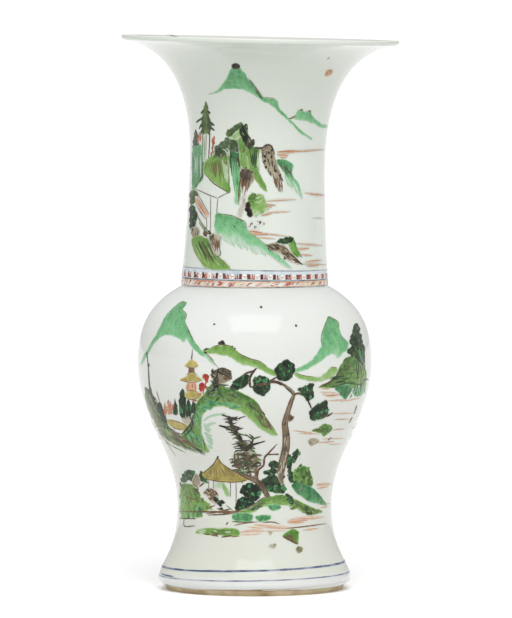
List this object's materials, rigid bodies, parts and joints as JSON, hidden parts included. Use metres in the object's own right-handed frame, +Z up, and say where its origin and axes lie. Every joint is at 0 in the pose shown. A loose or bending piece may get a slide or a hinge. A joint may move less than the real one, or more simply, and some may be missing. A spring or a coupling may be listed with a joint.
{
  "type": "yen yen vase",
  "caption": "Tall porcelain vase with a trumpet neck, rounded shoulder, narrow waist and spreading foot, painted with a mountain landscape, for display or for holding stems.",
  "frame": {"origin": "centre of the flat foot rim, on the surface that the vase stands on", "axes": "+Z up along the axis of the body, -Y towards the painted front of the picture, +X to the right of that view"},
  "size_m": [0.2264, 0.2264, 0.4524],
  "materials": {
    "porcelain_body": "fired unglazed porcelain under the glaze",
    "porcelain_foot": "unglazed foot rim, burnt light brown",
    "luting_slip": "fired slip in the joints",
    "outer_glaze": "clear greenish white glaze, painted over with enamels",
    "inner_glaze": "clear greenish white glaze"
  },
  "bodies": {
    "root": {"neck_section": "porcelain_body", "shoulder_section": "porcelain_body", "lower_body_section": "porcelain_body", "foot_section": "porcelain_foot", "base_disc": "porcelain_body", "neck_joint_slip": "luting_slip", "belly_joint_slip": "luting_slip", "waist_joint_slip": "luting_slip", "base_joint_slip": "luting_slip", "neck_glaze": "outer_glaze", "body_glaze": "outer_glaze", "inner_glaze": "inner_glaze", "base_glaze": "inner_glaze"}
  },
  "joints": []
}
